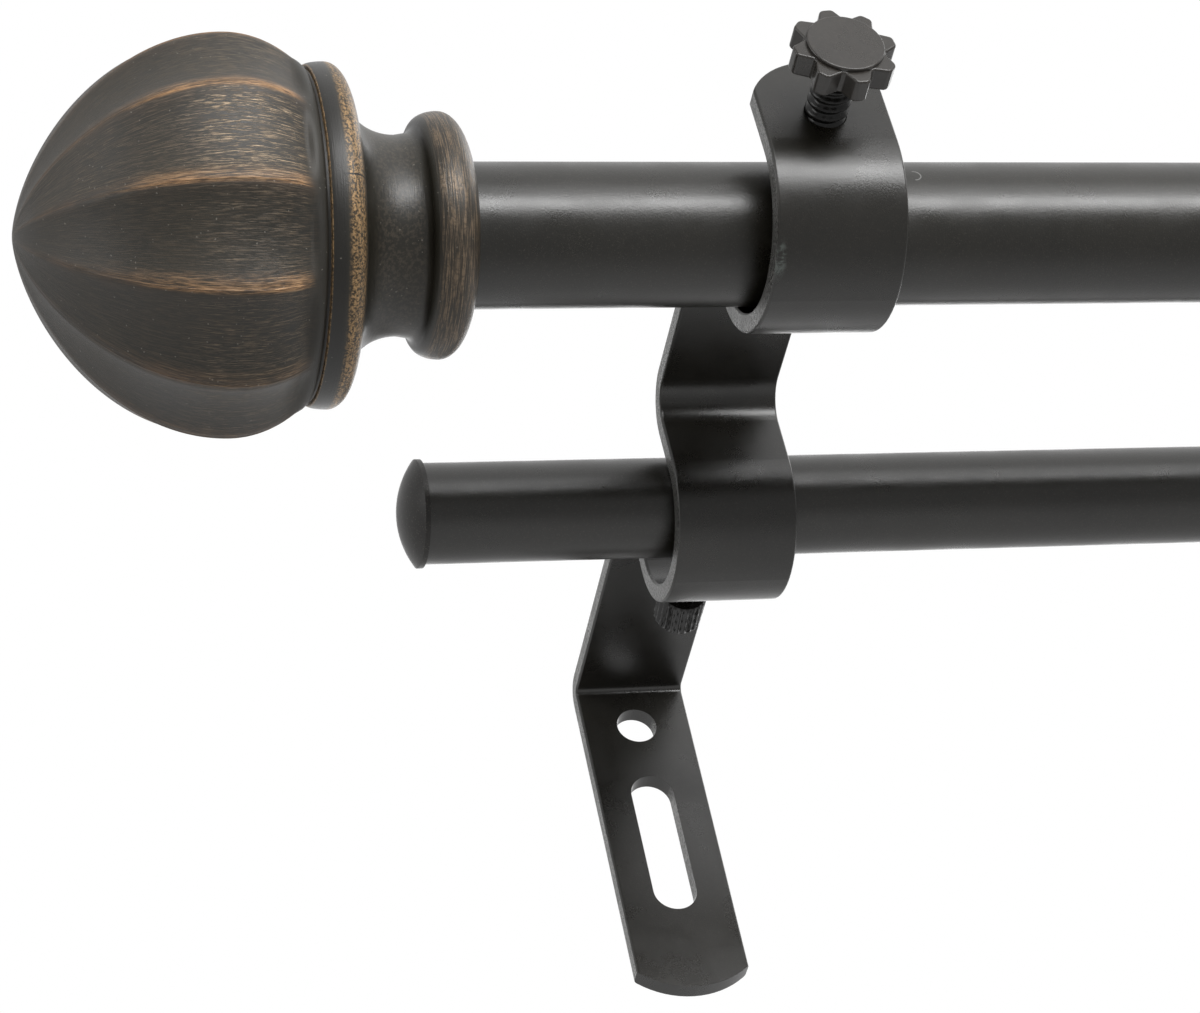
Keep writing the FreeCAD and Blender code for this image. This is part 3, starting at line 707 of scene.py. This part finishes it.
def make_world():
    """White to the camera, soft grey light on the object. In reflections it is white above
    and on the wall side, and greyer low on the room side and on the left, as in a studio."""
    world = bpy.data.worlds.new("studio")
    bpy.context.scene.world = world
    world.use_nodes = True
    n = Nodes(world.node_tree)

    def background(strength):
        inputs = {"Color": WHITE, "Strength": strength}
        return n.node("ShaderNodeBackground", inputs).outputs[0]

    ray = n.node("ShaderNodeLightPath")
    where = n.node("ShaderNodeTexCoord").outputs["Generated"]
    level = n.product(n.span(n.dot(where, LOW_FRONT), *LOW_FRONT_SHADE),
                      n.span(n.split(where)[0], *LEFT_SHADE))
    unseen = n.mix_shader(ray.outputs["Is Glossy Ray"], background(SOFT_LIGHT), background(level))
    seen = n.math("MAXIMUM", ray.outputs["Is Camera Ray"], ray.outputs["Is Transmission Ray"])
    n.node("ShaderNodeOutputWorld", {"Surface": n.mix_shader(seen, unseen, background(1.0))})


def placed(right, up, back, place):
    """The matrix of a lamp or camera at a place, with its back away from what it faces."""
    return Matrix((
        (right.x, up.x, back.x, place.x),
        (right.y, up.y, back.y, place.y),
        (right.z, up.z, back.z, place.z),
        (0, 0, 0, 1)))


def softbox(name, direction, distance, size, brightness):
    """Area light that faces the lit point, with its brightness per unit of face."""
    light = bpy.data.lights.new(name, "AREA")
    light.shape = "RECTANGLE"
    light.size, light.size_y = size
    light.energy = brightness * math.pi * size[0] * size[1]
    lamp = bpy.data.objects.new(name, light)
    bpy.context.scene.collection.objects.link(lamp)
    back = Vector(direction).normalized()
    up = back.cross(Vector((1, 0, 0))).normalized()
    right = up.cross(back).normalized()
    lamp.matrix_world = placed(right, up, back, LIT_POINT + back * distance)


def make_camera():
    """The photograph's viewpoint: below and in front of the left end, looking up."""
    ahead = Vector((math.cos(CAMERA_PITCH) * math.sin(CAMERA_YAW),
                    math.cos(CAMERA_PITCH) * math.cos(CAMERA_YAW), math.sin(CAMERA_PITCH)))
    level = Vector((math.cos(CAMERA_YAW), -math.sin(CAMERA_YAW), 0))
    above = level.cross(ahead)
    right = math.cos(CAMERA_ROLL) * level - math.sin(CAMERA_ROLL) * above
    up = math.sin(CAMERA_ROLL) * level + math.cos(CAMERA_ROLL) * above
    camera = bpy.data.objects.new("camera", bpy.data.cameras.new("camera"))
    camera.data.lens, camera.data.sensor_width = CAMERA_LENS, CAMERA_SENSOR
    camera.data.clip_start, camera.data.clip_end = CAMERA_NEAR, CAMERA_FAR
    camera.matrix_world = placed(right, up, -ahead, CAMERA_PLACE)
    bpy.context.scene.collection.objects.link(camera)
    bpy.context.scene.camera = camera


make_floor()
make_world()
for lamp in LAMPS:
    softbox(*lamp)
make_camera()
bpy.context.scene.view_settings.view_transform = "Standard"
